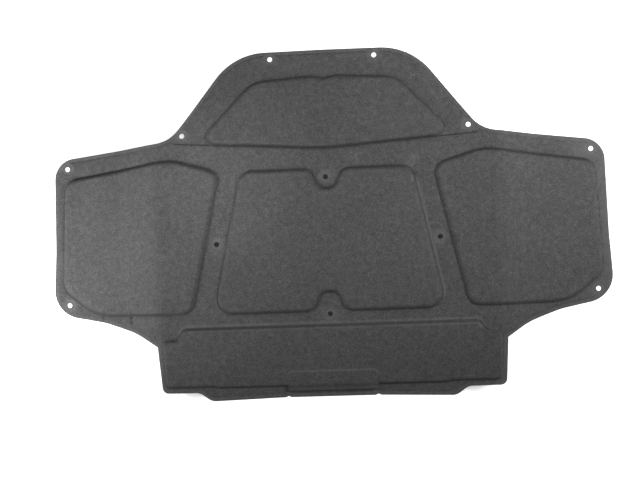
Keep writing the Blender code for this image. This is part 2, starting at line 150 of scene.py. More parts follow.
def rounded(corners):
    """Loop of points (x, y) through corners (x, y, radius), whose corners are arcs."""
    points = []
    for index, (x, y, radius) in enumerate(corners):
        corner = Vector((x, y))
        before = Vector(corners[index - 1][:2]) - corner
        after = Vector(corners[(index + 1) % len(corners)][:2]) - corner
        turn = math.pi - before.angle(after)
        if radius <= 0 or turn < STRAIGHT:
            points.append(corner)
            continue
        reach = min(radius * math.tan(turn / 2), ROUND_REACH * before.length, ROUND_REACH * after.length)
        radius = reach / math.tan(turn / 2)
        before.normalize()
        after.normalize()
        centre = corner + (before + after).normalized() * radius / math.cos(turn / 2)
        start = corner + before * reach - centre
        side = 1 if before.cross(after) < 0 else -1
        steps = math.ceil(turn / (2 * math.acos(1 - ARC_ERROR / radius)))
        for step in range(steps + 1):
            points.append(centre + Matrix.Rotation(side * turn * step / steps, 2) @ start)
    return np.array([tuple(point) for point in points])


def mirrored(half):
    """A whole loop from the corners of its right half, listed from top to bottom."""
    return half + [(-x, y, radius) for x, y, radius in reversed(half) if x > 0]


# %% The cut edge of the pad
NOSE_CROWN = 0.0015
NECK_RISE = 0.071
WING_TOP_RISE = 0.041
WAIST_INSET, WAIST_DROP = 0.0085, 0.164
FOOT_DROP = 0.304
UNDER_INSET, UNDER_DROP = 0.119, 0.326
SWEEP_RUN, SWEEP_DROP = 0.047, 0.352
NOTCH_FLARE, NOTCH_DROP = 0.002, 0.382
LIP_SLOPE = 0.028
NICK_HALF, NICK_DEPTH = 0.006, 0.003
EDGE_ROUND = {
    "nose": 0.140, "neck": 0.075, "wing top": 0.048, "waist": 0.300, "foot": 0.062,
    "under": 0.160, "sweep": 0.150, "tail": 0.014, "lip": 0.025}

outline = rounded(mirrored([
    (0, NOSE_Y, 0),
    (NOSE_HALF, NOSE_Y - NOSE_CROWN, EDGE_ROUND["nose"]),
    (NECK_HALF, CENTRE_Y + NECK_RISE, EDGE_ROUND["neck"]),
    (WING_TOP_HALF, CENTRE_Y + WING_TOP_RISE, EDGE_ROUND["wing top"]),
    (WING_HALF - WAIST_INSET, CENTRE_Y - WAIST_DROP, EDGE_ROUND["waist"]),
    (WING_HALF, CENTRE_Y - FOOT_DROP, EDGE_ROUND["foot"]),
    (WING_HALF - UNDER_INSET, CENTRE_Y - UNDER_DROP, EDGE_ROUND["under"]),
    (TAIL_HALF + SWEEP_RUN, CENTRE_Y - SWEEP_DROP, EDGE_ROUND["sweep"]),
    (TAIL_HALF + NOTCH_FLARE, CENTRE_Y - NOTCH_DROP, 0),
    (TAIL_HALF, TAIL_Y, EDGE_ROUND["tail"]),
    (LIP_HALF + LIP_SLOPE, TAIL_Y, EDGE_ROUND["lip"]),
    (LIP_HALF, TAIL_END_Y, EDGE_ROUND["lip"]),
    (TAB_HALF + NICK_HALF, LIP_Y, 0),
    (TAB_HALF, LIP_Y + NICK_DEPTH, 0),
    (TAB_HALF - NICK_HALF, LIP_Y, 0),
    (0, LIP_Y, 0),
]))
print("outline of", len(outline), "points")


# %% The nose panel
CREASE_RISE = 0.068


def crease_height(x):
    """The nose bends along two lines that rise from the middle plane to the necks."""
    return CREASE_Y + CREASE_RISE * abs(x)


NOSE_PANEL_TOP = NOSE_Y - 0.058
NOSE_DIP, NOSE_DIP_HALF = 0.007, 0.026
SHOULDER_HALF = NOSE_HALF - 0.040
SHOULDER_DROP = 0.009
NOSE_FOOT_HALF = NECK_HALF - 0.077
NOSE_FOOT_LIFT = 0.040
NOSE_HEEL_HALF = NECK_HALF - 0.095
nose_panel = rounded(mirrored([
    (0, NOSE_PANEL_TOP - NOSE_DIP, 0),
    (NOSE_DIP_HALF, NOSE_PANEL_TOP, 0.026),
    (SHOULDER_HALF, NOSE_PANEL_TOP - SHOULDER_DROP, 0.060),
    (NOSE_FOOT_HALF, CREASE_Y + NOSE_FOOT_LIFT, 0.024),
    (NOSE_HEEL_HALF, crease_height(NOSE_HEEL_HALF), 0.020),
    (0, CREASE_Y, 0.700),
]))
print("nose panel of", len(nose_panel), "points")

# %% The centre panel with its two pockets
CENTRE_TOP_HALF, CENTRE_FOOT_HALF = 0.188, 0.255
POCKET_MOUTH_HALF, POCKET_FLOOR_HALF = 0.036, 0.018
POCKET_DEPTH = 0.0425
POCKET_ROUND = 0.024
centre_panel = rounded(mirrored([
    (POCKET_FLOOR_HALF, CENTRE_Y - POCKET_DEPTH, POCKET_ROUND),
    (POCKET_MOUTH_HALF, CENTRE_Y, POCKET_ROUND),
    (CENTRE_TOP_HALF, CENTRE_Y, 0.032),
    (CENTRE_FOOT_HALF, CENTRE_FOOT_Y, 0.036),
    (POCKET_MOUTH_HALF, CENTRE_FOOT_Y, POCKET_ROUND),
    (POCKET_FLOOR_HALF, CENTRE_FOOT_Y + POCKET_DEPTH, POCKET_ROUND),
]))
print("centre panel of", len(centre_panel), "points")

# %% The wing panels
WING_BORDER = 0.024
WING_PEAK_HALF, WING_PEAK = NECK_HALF - 0.003, 0.031
WING_INNER_TOP_DROP, WING_OUTER_TOP_DROP = 0.001, 0.003
WING_FOOT_DROP = 0.250
WING_UNDER_INSET, WING_UNDER_DROP = 0.102, 0.311
WING_ROUND, WING_LONG_ROUND = 0.028, 0.110
right_wing_corners = [
    (CENTRE_TOP_HALF + 0.046, CENTRE_Y - WING_INNER_TOP_DROP, WING_ROUND),
    (WING_PEAK_HALF, CENTRE_Y + WING_PEAK, WING_LONG_ROUND),
    (WING_TOP_HALF - WING_BORDER, CENTRE_Y - WING_OUTER_TOP_DROP, WING_ROUND),
    (WING_HALF - WING_BORDER, CENTRE_Y - WING_FOOT_DROP, 0.048),
    (WING_HALF - WING_UNDER_INSET, CENTRE_Y - WING_UNDER_DROP, WING_LONG_ROUND),
    (CENTRE_FOOT_HALF + 0.049, CENTRE_Y - WING_UNDER_DROP, WING_ROUND),
]
left_wing_corners = [(-x, y, radius) for x, y, radius in reversed(right_wing_corners)]

# %% The band over the tail and its tab
BAND_HALF = TAIL_HALF - 0.011
BAND_SHOULDER_HALF, BAND_STEP_HALF = BAND_HALF - 0.048, BAND_HALF - 0.034
BAND_STEP = 0.024
BAND_ROUND = 0.011
BAND_JOG_HALF, BAND_JOG = LIP_HALF - 0.014, 0.003
band_panel = rounded(mirrored([
    (0, BAND_Y, 0),
    (BAND_SHOULDER_HALF, BAND_Y, BAND_ROUND),
    (BAND_STEP_HALF, BAND_Y - BAND_STEP, BAND_ROUND),
    (BAND_HALF, BAND_Y - BAND_STEP, BAND_ROUND),
    (BAND_HALF, BAND_FOOT_Y, BAND_ROUND),
    (BAND_JOG_HALF + BAND_JOG, BAND_FOOT_Y, 0),
    (BAND_JOG_HALF - BAND_JOG, BAND_FOOT_Y - BAND_JOG, 0),
    (0, BAND_FOOT_Y - BAND_JOG, 0),
]))
TAB_RISE, TAB_OVERHANG = 0.033, 0.014
tab = rounded(mirrored([
    (0, BAND_FOOT_Y + TAB_RISE, 0),
    (TAB_HALF, BAND_FOOT_Y + TAB_RISE, 0.012),
    (TAB_HALF, BAND_FOOT_Y - TAB_OVERHANG, 0.009),
    (0, BAND_FOOT_Y - TAB_OVERHANG, 0),
]))
panels = {
    "nose": nose_panel, "centre": centre_panel, "right_wing": rounded(right_wing_corners),
    "left_wing": rounded(left_wing_corners), "band": band_panel}
print({name: len(loop) for name, loop in panels.items()}, "tab", len(tab))

# %% The clip holes
HOLE_RADIUS = 0.0055
SEAT_RADIUS = 0.0135
SEAT_THICKNESS = 0.0026
MIDDLE_HOLES = [(0, 0.103), (0, -0.1975)]
RIGHT_HOLES = [(0.116, 0.371), (0.315, 0.205), (0.583, 0.144), (0.589, -0.163), (0.2457, -0.0369)]
holes = np.array(MIDDLE_HOLES + [(side * x, y) for x, y in RIGHT_HOLES for side in (1, -1)])
print(len(holes), "clip holes")

# %% [markdown]
# ## A net of points that follows the mould
#
# A regular grid would leave steps where a fold runs across it, and subdividing everything until the
# folds look smooth would cost millions of faces. So the points are laid in rings along each edge of the
# mould, close together where the felt bends sharply, and the flat fields between them get a plain
# triangular grid. A Delaunay triangulation then joins them, and only the cut edge and the holes are
# fixed lines in it.

# %% Distance from an edge, positive inside it
CHUNK = 2000


def distance_inside(points, loop):
    """Distance of each point from the loop, positive inside it and negative outside."""
    start = loop
    end = np.roll(loop, -1, axis=0)
    span = end - start
    length_squared = (span ** 2).sum(axis=1)
    result = np.empty(len(points))
    for first in range(0, len(points), CHUNK):
        part = points[first:first + CHUNK]
        offset = part[:, None] - start
        share = np.clip((offset * span).sum(axis=2) / length_squared, 0, 1)
        nearest = np.sqrt(((offset - share[:, :, None] * span) ** 2).sum(axis=2).min(axis=1))
        y = part[:, 1, None]
        spans_level = (start[:, 1] > y) != (end[:, 1] > y)
        slope = span[:, 0] / np.where(span[:, 1] == 0, 1, span[:, 1])
        crossing = start[:, 0] + (y - start[:, 1]) * slope
        inside = (spans_level & (part[:, 0, None] < crossing)).sum(axis=1) % 2 == 1
        result[first:first + CHUNK] = np.where(inside, nearest, -nearest)
    return result


# %% Rings of points along an edge
RING_SPACING = 0.0042
RING_SLIP = 0.0002


def spaced(loop, spacing):
    """The loop with points added so that none are further apart than spacing."""
    points = []
    for here, there in zip(loop, np.roll(loop, -1, axis=0)):
        count = max(1, math.ceil(np.linalg.norm(there - here) / spacing))
        points += [here + (there - here) * step / count for step in range(count)]
    return np.array(points)


def thinned(loop, least):
    """The loop without points that crowd closer than least to the one before."""
    kept = [loop[0]]
    for point in loop[1:]:
        if np.linalg.norm(point - kept[-1]) >= least:
            kept.append(point)
    return np.array(kept)


def rings(loop, offsets):
    """Points at each offset inside the loop, where the offset ring doesn't cross itself."""
    loop = thinned(spaced(loop, RING_SPACING), RING_SPACING / 4)
    along = np.roll(loop, -1, axis=0) - np.roll(loop, 1, axis=0)
    along /= np.linalg.norm(along, axis=1)[:, None]
    inward = np.stack([along[:, 1], -along[:, 0]], axis=1)
    found = []
    for offset in offsets:
        ring = loop + inward * offset
        found.append(ring[np.abs(distance_inside(ring, loop) - offset) < RING_SLIP])
    return np.concatenate(found)


# %% Lay the rings
PANEL_OFFSETS = (
    -0.0054, -0.0042, -0.0032, -0.0023, -0.0015, -0.0007, 0.0, 0.0007,
    0.0015, 0.0024, 0.0035, 0.0048, 0.0064, 0.0083, 0.0106, 0.0140)
TAB_OFFSETS = (-0.0020, -0.0010, -0.0003, 0.0004, 0.0011, 0.0020, 0.0032, 0.0050)
EDGE_OFFSETS = (0.0005, 0.0014, 0.0035, 0.0062, 0.0074, 0.0083, 0.0091, 0.0100, 0.0112, 0.0135)
SEAT_RINGS = (0.0061, 0.0072, 0.0090, 0.0112, 0.0124, 0.0133, 0.0143, 0.0158)
SEAT_SEGMENTS = 36
SEAT_REACH = 0.0170


def circle(centre, radius, count):
    """Points round a centre."""
    angles = np.arange(count) * 2 * math.pi / count
    return centre + radius * np.stack([np.cos(angles), np.sin(angles)], axis=1)


EDGE_SPACING, EDGE_LEAST = 0.004, 0.001
cut_edge = thinned(spaced(outline, EDGE_SPACING), EDGE_LEAST)
hole_edges = [circle(hole, HOLE_RADIUS, SEAT_SEGMENTS) for hole in holes]
seat_points = np.concatenate([circle(hole, radius, SEAT_SEGMENTS) for hole in holes for radius in SEAT_RINGS])
panel_rings = [rings(loop, PANEL_OFFSETS) for loop in panels.values()]
ring_points = np.concatenate(panel_rings + [rings(tab, TAB_OFFSETS), rings(outline, EDGE_OFFSETS)])
print(len(cut_edge), "edge points,", len(ring_points), "ring points,", len(seat_points), "seat points")

# %% The neck creases and the grid between the rings
NECK_CREASE_END = NECK_HALF - RIM_WIDTH - RIM_STEP
NECK_CREASE_OFFSETS = (-0.0036, -0.0024, -0.0012, 0, 0.0012, 0.0024, 0.0036)
PAST_CREASE = 0.004
GRID = 0.0062
crease_x = np.arange(NOSE_HEEL_HALF - PAST_CREASE, NECK_CREASE_END + PAST_CREASE, RING_SPACING)
crease_points = np.array([
    (side * x, crease_height(x) + offset)
    for side in (1, -1) for x in crease_x for offset in NECK_CREASE_OFFSETS])
row_height = GRID * math.sqrt(3) / 2
grid = []
for row, y in enumerate(np.arange(TAIL_END_Y, NOSE_Y, row_height)):
    for x in np.arange(-WING_HALF + (row % 2) * GRID / 2, WING_HALF, GRID):
        grid.append((x, y))
grid = np.array(grid)
print(len(crease_points), "crease points,", len(grid), "grid points")


# %% Keep points that have room
def near_holes(points):
    """Distance of each point from the nearest hole's centre."""
    return np.linalg.norm(points[:, None] - holes, axis=2).min(axis=1)


def with_room(points, taken, room):
    """The points that lie further than room from all points taken so far and from each other."""
    table = {}
    for x, y in taken:
        table.setdefault((int(x // room), int(y // room)), []).append((x, y))
    kept = []
    for x, y in points:
        column, row = int(x // room), int(y // room)
        close = any(
            (x - other_x) ** 2 + (y - other_y) ** 2 < room ** 2
            for i in (column - 1, column, column + 1) for j in (row - 1, row, row + 1)
            for other_x, other_y in table.get((i, j), ()))
        if not close:
            kept.append((x, y))
            table.setdefault((column, row), []).append((x, y))
    return np.array(kept)


EDGE_ROOM = 0.0004
RING_ROOM = 0.00045
GRID_EDGE_ROOM = 0.004
GRID_ROOM = 0.0030
fixed = np.concatenate([cut_edge] + hole_edges)
relief = np.concatenate([ring_points, crease_points])
relief = relief[(near_holes(relief) > SEAT_REACH) & (distance_inside(relief, outline) > EDGE_ROOM)]
seats_inside = seat_points[distance_inside(seat_points, outline) > EDGE_ROOM]
relief = with_room(np.concatenate([seats_inside, relief]), fixed, RING_ROOM)
grid = grid[(near_holes(grid) > SEAT_REACH) & (distance_inside(grid, outline) > GRID_EDGE_ROOM)]
plain = with_room(grid, np.concatenate([fixed, relief]), GRID_ROOM)
net_points = np.concatenate([fixed, relief, plain])
print(len(net_points), "points in the net")


# %% Join the points by triangles
def loop_edges(counts):
    """Edges of closed loops whose points follow each other in one list."""
    edges = []
    first = 0
    for count in counts:
        edges += [(first + index, first + (index + 1) % count) for index in range(count)]
        first += count
    return edges


loop_counts = [len(cut_edge)] + [SEAT_SEGMENTS] * len(holes)


def triangles(points):
    """Delaunay triangles between the cut edge and the holes, anticlockwise from above."""
    made = delaunay_2d_cdt([Vector(point) for point in points], loop_edges(loop_counts), [], 0, 1e-7, False)
    assert len(made[0]) == len(points)
    faces = np.array(made[2])
    middle = points[faces].mean(axis=1)
    keep = (distance_inside(middle, cut_edge) > 0) & (near_holes(middle) > HOLE_RADIUS)
    faces = faces[keep]
    first, second, third = points[faces[:, 0]], points[faces[:, 1]], points[faces[:, 2]]
    turn = np.cross(second - first, third - first)
    faces[turn < 0] = faces[turn < 0][:, ::-1]
    return faces


top_faces = triangles(net_points)
print(len(top_faces), "triangles on the face")

# %% [markdown]
# ## The relief
#
# The height of the face is the height of the back plus the thickness of the felt. Both are formulas of
# the distances measured above: a thin pressed rim, a narrow crease round each panel, and a wall that
# rises as a quarter ellipse softened to an S. The crease is deeper and the S fuller where a wall faces
# the nose or the tail than where it faces a side. Felt never follows a mould exactly, so noise moves
# the walls by half a millimetre and lets the fields rise and fall a little. A cloth simulation would
# blow the pad up like a cushion, and pressed felt holds no air, so the points are moved directly.

# %% The height of the back
CENTRE_HEIGHT = 0.028
BEND_RUN = 0.018
CREST_RUN = 0.012
wing_knots = [
    (0.285, 0), (0.322, 0.0020), (0.350, 0.0058), (0.376, 0.0108),
    (0.460, -0.0165), (WING_HALF - 0.065, -CENTRE_HEIGHT), (WING_HALF, -CENTRE_HEIGHT)]
nose_knots = [(0, 0), (0.090, -0.0155), (0.178, -CENTRE_HEIGHT), (0.223, -CENTRE_HEIGHT)]
tail_knots = [(0.010, 0), (0.142, -CENTRE_HEIGHT), (0.166, -CENTRE_HEIGHT)]


def soft_profile(distance, knots, run=BEND_RUN):
    """Height of a line through knots (distance, height), with its corners softened."""
    height = np.zeros_like(distance)
    slope = 0.0
    for (here, level), (there, next_level) in zip(knots, knots[1:]):
        next_slope = (next_level - level) / (there - here)
        beyond = np.clip(distance - here + run, 0, None)
        soft = np.where(beyond < 2 * run, beyond ** 2 / (4 * run), beyond - run)
        height += (next_slope - slope) * soft
        slope = next_slope
    return height


def fall(points):
    """Height of the pad's back above the floor, which no two falls together go below."""
    x, y = points[:, 0], points[:, 1]
    height = np.full(len(points), CENTRE_HEIGHT)
    height *= 1 + soft_profile(np.abs(x), wing_knots, CREST_RUN) / CENTRE_HEIGHT
    height *= 1 + soft_profile(y - crease_height(x), nose_knots) / CENTRE_HEIGHT
    height *= 1 + soft_profile(BAND_Y - y, tail_knots) / CENTRE_HEIGHT
    return np.clip(height, 0, None)


# %% Helpers for soft steps and uneven felt
def smooth(low, high, values):
    """Soft step from 0 at low to 1 at high."""
    share = np.clip((values - low) / (high - low), 0, 1)
    return share * share * (3 - 2 * share)


def ridge(values, width):
    """Soft ridge of height 1 at 0."""
    return np.exp(-(values / width) ** 2)


def uneven(points, scale, seed):
    """Smooth noise between about -1 and 1, with bumps about 1 / scale across."""
    return np.array([noise.noise(Vector((x * scale, y * scale, seed))) for x, y in points])


def layered(points, layers):
    """Sum of layers of noise, each given as (height, scale, seed)."""
    return sum(height * uneven(points, scale, seed) for height, scale, seed in layers)


# %% Measure every point of the net
WALL_WOBBLE = ((0.0005, 75, 1.5), (0.0003, 190, 4.5))
face_count = len(net_points)
x, y = net_points[:, 0], net_points[:, 1]
edge_distance = distance_inside(net_points, outline)
panel_distance = {name: distance_inside(net_points, loop) for name, loop in panels.items()}
tab_distance = distance_inside(net_points, tab)
hole_distance = near_holes(net_points)
wobble = layered(net_points, WALL_WOBBLE)
print("thickest border", round(edge_distance.max(), 3))


# %% Which way each wall faces
WALL_REACH = 0.015
STEP = 0.0002


def facing(points, loop, distance):
    """Direction across the pad in which the wall at each point faces, 0 far from the wall."""
    near = np.abs(distance) < WALL_REACH
    found = np.zeros((len(points), 2))
    for axis, step in enumerate(((STEP, 0), (0, STEP))):
        found[near, axis] = (distance[near] - distance_inside(points[near] + step, loop)) / STEP
    return found


wall_facing = {name: facing(net_points, loop, panel_distance[name]) for name, loop in panels.items()}
print({name: int(found.any(axis=1).sum()) for name, found in wall_facing.items()}, "points near walls")

# %% A wall that rolls over at its top
WALL_START = 0.0012
FOOT_LEAD = 0.0006
FOOT_RUN = 0.0018


def rolled(distance, roll, s_share):
    """Wall from 0 at its foot to 1 at the end of the roll: a quarter ellipse, softened to an S by s_share."""
    share = np.clip((distance + FOOT_LEAD) / (roll + FOOT_LEAD), 0, 1)
    ellipse = np.sqrt(1 - (1 - share) ** 2) * smooth(-WALL_START, FOOT_RUN, distance)
    return ellipse + (smooth(-WALL_START, roll, distance) - ellipse) * s_share


# %% Rim, creases and panels
S_SHARE, SIDE_S_SHARE = 0.6, 0.25
SIDE_CREASE = 0.45
CROWN, CROWN_RUN = 0.0007, 0.045
RIM_LINE_DEPTH, RIM_LINE_WIDTH, RIM_LINE_PLACE = 0.0002, 0.0009, RIM_WIDTH + 0.0004
above_band = smooth(-0.33, -0.24, y)
thickness = RIM + (SHEET - RIM) * smooth(RIM_WIDTH, RIM_WIDTH + RIM_STEP, edge_distance)
thickness -= RIM_LINE_DEPTH * above_band * ridge(edge_distance - RIM_LINE_PLACE, RIM_LINE_WIDTH)
for name, distance in panel_distance.items():
    top, roll = (BAND_TOP, BAND_ROLL) if name == "band" else (PANEL_TOP, PANEL_ROLL)
    moved = distance + wobble
    along_pad = np.abs(wall_facing[name][:, 1])
    depth = (SHEET - CREASE_FLOOR) * (SIDE_CREASE + (1 - SIDE_CREASE) * along_pad)
    crease = SHEET - depth * smooth(-CREASE_RUN, -WALL_START, moved)
    in_crease = (moved < 0) & (moved > -CREASE_RUN)
    thickness = np.where(in_crease, np.minimum(thickness, crease), thickness)
    crown = CROWN * (1 - np.exp(-np.clip(distance - roll, 0, None) / CROWN_RUN))
    foot = SHEET - depth
    s_share = SIDE_S_SHARE + (S_SHARE - SIDE_S_SHARE) * along_pad
    panel = foot + (top - foot) * rolled(moved, roll, s_share) + crown
    thickness = np.where(moved > -WALL_START, np.maximum(thickness * (moved < 0), panel), thickness)
print("thickness from", round(thickness.min(), 4), "to", round(thickness.max(), 4))

# %% The tab, the seats and the creases across the necks
TAB_START = 0.0008
SEAT_WALL_IN, SEAT_WALL_OUT = 0.0014, 0.0010
SEAT_LIP, SEAT_LIP_PLACE, SEAT_LIP_WIDTH = 0.0003, SEAT_RADIUS + 0.0012, 0.0010
NECK_CREASE_DEPTH, NECK_CREASE_WIDTH = 0.0011, 0.0014
tab_rise = rolled(tab_distance + wobble * 0.5, TAB_ROLL, S_SHARE)
thickness += (TAB_TOP - thickness) * np.where(tab_distance > -TAB_START, tab_rise, 0)
seat = 1 - smooth(SEAT_RADIUS - SEAT_WALL_IN, SEAT_RADIUS + SEAT_WALL_OUT, hole_distance)
thickness += (SEAT_THICKNESS - thickness) * seat
thickness += SEAT_LIP * ridge(hole_distance - SEAT_LIP_PLACE, SEAT_LIP_WIDTH)
across = np.abs(x)
on_neck = smooth(NOSE_HEEL_HALF - 0.006, NOSE_HEEL_HALF, across)
on_neck *= 1 - smooth(NECK_CREASE_END, NECK_HALF, across)
thickness -= NECK_CREASE_DEPTH * on_neck * ridge(y - crease_height(across), NECK_CREASE_WIDTH)
print("thickness from", round(thickness.min(), 4), "to", round(thickness.max(), 4))

# %% Wrinkles and puckers
WRINKLES = [
    ((-0.506, -0.178), (-0.512, -0.199)), ((-0.4500, -0.178), (-0.4445, -0.209)),
    ((-0.4415, -0.180), (-0.4445, -0.209))]
WRINKLE_DEPTH, WRINKLE_WIDTH = 0.0012, 0.0017
PUCKERS = [((0.0466, 0.3216), 0.017), ((0.161, -0.201), 0.014)]
PUCKER_DEPTH, PUCKER_LENGTH, PUCKER_PITCH = 0.0011, 0.0065, 0.0056


def distance_to_line(points, start, end):
    """Distance of each point from a straight stroke."""
    start, end = np.array(start), np.array(end)
    share = np.clip(((points - start) @ (end - start)) / ((end - start) ** 2).sum(), 0, 1)
    return np.linalg.norm(points - start - share[:, None] * (end - start), axis=1)


wrinkled = sum(ridge(distance_to_line(net_points, start, end), WRINKLE_WIDTH) for start, end in WRINKLES)
thickness -= WRINKLE_DEPTH * wrinkled
puckered = np.zeros(face_count)
for place, reach in PUCKERS:
    beside = net_points - place
    window = ridge(beside[:, 0], reach) * ridge(beside[:, 1], PUCKER_LENGTH)
    puckered += window * (0.5 + 0.5 * np.sin(beside[:, 0] * 2 * math.pi / PUCKER_PITCH))
thickness -= PUCKER_DEPTH * puckered
print(len(WRINKLES), "wrinkles,", len(PUCKERS), "puckered places")

# %% Soft cut edges and uneven fields
FIELD_SWELL = ((0.00030, 11, 8.5), (0.00014, 42, 2.5))


def worn_edge(distance, reach, drop):
    """How much a cut edge is rounded off, from drop at the edge to 0 at reach."""
    near = 1 - np.clip(distance / reach, 0, 1)
    return drop * (1 - np.sqrt(1 - near ** 2))


thickness -= worn_edge(edge_distance, 0.0014, 0.0008)
thickness -= worn_edge(hole_distance - HOLE_RADIUS, 0.0012, 0.0007)
swell = layered(net_points, FIELD_SWELL)
thickness += swell * smooth(0.002, 0.02, edge_distance) * (1 - seat)
print("thickness from", round(thickness.min(), 4), "to", round(thickness.max(), 4))

# %% [markdown]
# ## One closed mesh
#
# The back is a coarser net under the same edges, because it is plain, and a wall joins the two along the
# cut edge and inside each hole. Along the cut edge the wall's middle row stands out a fifth of a
# millimetre, as the fibres of cut felt do.

# %% The back and the walls
BACK_GRID = 2
BACK_SWELL = 0.0002
WALL_FRAY = 0.0002
back_points = np.concatenate([fixed, plain[::BACK_GRID]])
back_faces = triangles(back_points)
face_height = fall(net_points) + thickness
back_height = fall(back_points) + BACK_SWELL * (1 + uneven(back_points, 30, 6.5))
edge_count = len(fixed)
along = np.roll(cut_edge, -1, axis=0) - np.roll(cut_edge, 1, axis=0)
along /= np.linalg.norm(along, axis=1)[:, None]
outward = np.zeros((edge_count, 2))
outward[:len(cut_edge)] = np.stack([-along[:, 1], along[:, 0]], axis=1)
wall_points = fixed + outward * WALL_FRAY
wall_height = (face_height[:edge_count] + back_height[:edge_count]) / 2
back_count = len(back_points)
vertices = np.concatenate([
    np.column_stack([net_points, face_height]),
    np.column_stack([back_points, back_height]),
    np.column_stack([wall_points, wall_height])])
wall_faces = []
for here, there in loop_edges(loop_counts):
    low, middle = face_count, face_count + back_count
    wall_faces.append((here, there, middle + there, middle + here))
    wall_faces.append((middle + here, middle + there, low + there, low + here))
print(len(back_faces), "triangles on the back,", len(wall_faces), "faces in the walls")

# %% Make the pad
pad_mesh = bpy.data.meshes.new("moulded_pad")
pad_mesh.from_pydata(
    vertices.tolist(), [],
    top_faces.tolist() + (back_faces[:, ::-1] + face_count).tolist() + wall_faces)
pad_mesh.validate()
pad_mesh.shade_smooth()
pad = bpy.data.objects.new("moulded_pad", pad_mesh)
bpy.context.scene.collection.objects.link(pad)
print(len(pad_mesh.polygons), "faces,", round(face_height.max(), 4), "m high")

# %% [markdown]
# ## Where the felt is worn and pressed, and where light and shade are painted on
#
# The material needs to know more than a point's place: where the mould pressed hard, where handling
# raised pale fibres and where light is painted on, and where shade is painted into the creases and
# folds. These are stored as attributes on the mesh, measured from the same distances as the relief, so
# they follow each edge from every side.


# %% Helpers for the attributes
def store(name, values):
    """Keep one number for each vertex, with 0 on the vertices that values doesn't reach."""
    layer = pad_mesh.attributes.new(name, "FLOAT", "POINT")
    full = np.zeros(len(vertices))
    full[:len(values)] = np.clip(values, 0, 1)
    layer.data.foreach_set("value", full)
    print(name, "on", int((full > 0.1).sum()), "vertices")


def soft_lines(distance, lines):
    """Soft lines along an edge, each given as (strength, distance inside the edge, width)."""
    return sum(strength * ridge(distance - place, width) for strength, place, width in lines)


# %% Where handling rubbed the felt pale, and where light is painted on
RIGHT_WALL_LINES = ((2.4, -0.0038, 0.0019), (0.2, 0.0040, 0.0014))
BAND_LINES = ((1.4, -0.0048, 0.0016), (1.0, 0.0048, 0.0018))
TAB_LINES = ((0.5, 0.0010, 0.0030),)
SCUFFS = [
    ((0.0691, 0.157), (0.0684, 0.137), 0.004), ((0.196, 0.140), (0.186, 0.124), 0.010),
    ((0.190, 0.096), (0.189, 0.090), 0.004), ((0.345, -0.243), (0.362, -0.241), 0.003)]
SCUFF_STRENGTH = 1.28
BAND_SIDE = 0.36
BAND_PALE, BAND_PALE_RIGHT = 0.60, 0.25
BORDER_PAINTED_LIGHT = 0.55
SIDE_PALE, SIDE_PALE_RIGHT = 0.45, 0.25
PATCHES, FINE_PATCHES = 55, 260
patchy = 0.5 + 0.5 * uneven(net_points, PATCHES, 12.5)
fine_patchy = 0.5 + 0.5 * uneven(net_points, FINE_PATCHES, 3.5)

# The outer line along the centre panel's right wall is partly wear and partly painted light. It is made
# strong enough to outweigh the shade at the wall's foot.
right_wall = smooth(0.15, 0.19, x) * smooth(-0.19, -0.14, y) * (1 - smooth(0.085, 0.105, y))
wear_and_painted_light = right_wall * soft_lines(panel_distance["centre"], RIGHT_WALL_LINES)
band_top = smooth(-0.245, -0.228, y) * (across < BAND_SIDE)
band_top *= BAND_PALE + BAND_PALE_RIGHT * smooth(-0.2, 0.3, x)
wear_and_painted_light += band_top * soft_lines(panel_distance["band"], BAND_LINES)
# Painted light: the border right of the right wing is lightened where the wing panel's wall shades it.
painted_light_border = smooth(0.50, 0.57, x) * smooth(-0.24, -0.12, y)
wear_and_painted_light += BORDER_PAINTED_LIGHT * painted_light_border * smooth(0.0, 0.006, -panel_distance["right_wing"])
beside_band = smooth(0.0, 0.005, -panel_distance["band"]) * (across > BAND_SIDE) * smooth(0.24, 0.26, -y)
wear_and_painted_light += (SIDE_PALE + SIDE_PALE_RIGHT * (x > 0)) * beside_band
for start, end, width in SCUFFS:
    wear_and_painted_light += SCUFF_STRENGTH * ridge(distance_to_line(net_points, start, end), width) * fine_patchy
wear_and_painted_light += soft_lines(tab_distance, TAB_LINES) * smooth(-0.345, -0.330, y)
store("wear_and_painted_light", wear_and_painted_light * (0.35 + 0.65 * fine_patchy) * (0.6 + 0.6 * patchy))

# %% Where the mould pressed the felt hard
RIM_PRESSED = 0.6
SEAT_RING, SEAT_RING_WIDTH = 0.8, 0.003
on_rim = 1 - smooth(RIM_WIDTH - 0.001, RIM_WIDTH + 0.001, edge_distance)
seat_ring = seat + SEAT_RING * ridge(hole_distance - SEAT_RADIUS, SEAT_RING_WIDTH)
store("pressed", np.maximum(on_rim * RIM_PRESSED, seat_ring))

# %% Shade painted into the creases and folds
FOLD_SHADE = {
    "nose": (0.72, 1.0, 0.2, 0), "centre": (0.82, 0.80, 0.25, 0.5), "right_wing": (1.0, 0.58, 0, 0),
    "left_wing": (1.0, 0.70, 0.2, 0.12), "band": (0.50, 0.52, 0, 0)}
BAND_FADE = 0.6
FOLD_PLACE, FOLD_WIDTH, FOLD_LINE, SIDE_FOLD_LINE = 0.0012, 0.0038, 0.0016, 0.0022
UNDER_BAND, UNDER_BAND_RUN = 0.10, 0.011
RIM_LINE_SHADE, RIM_SHADE_WIDTH = 0.22, 0.0012
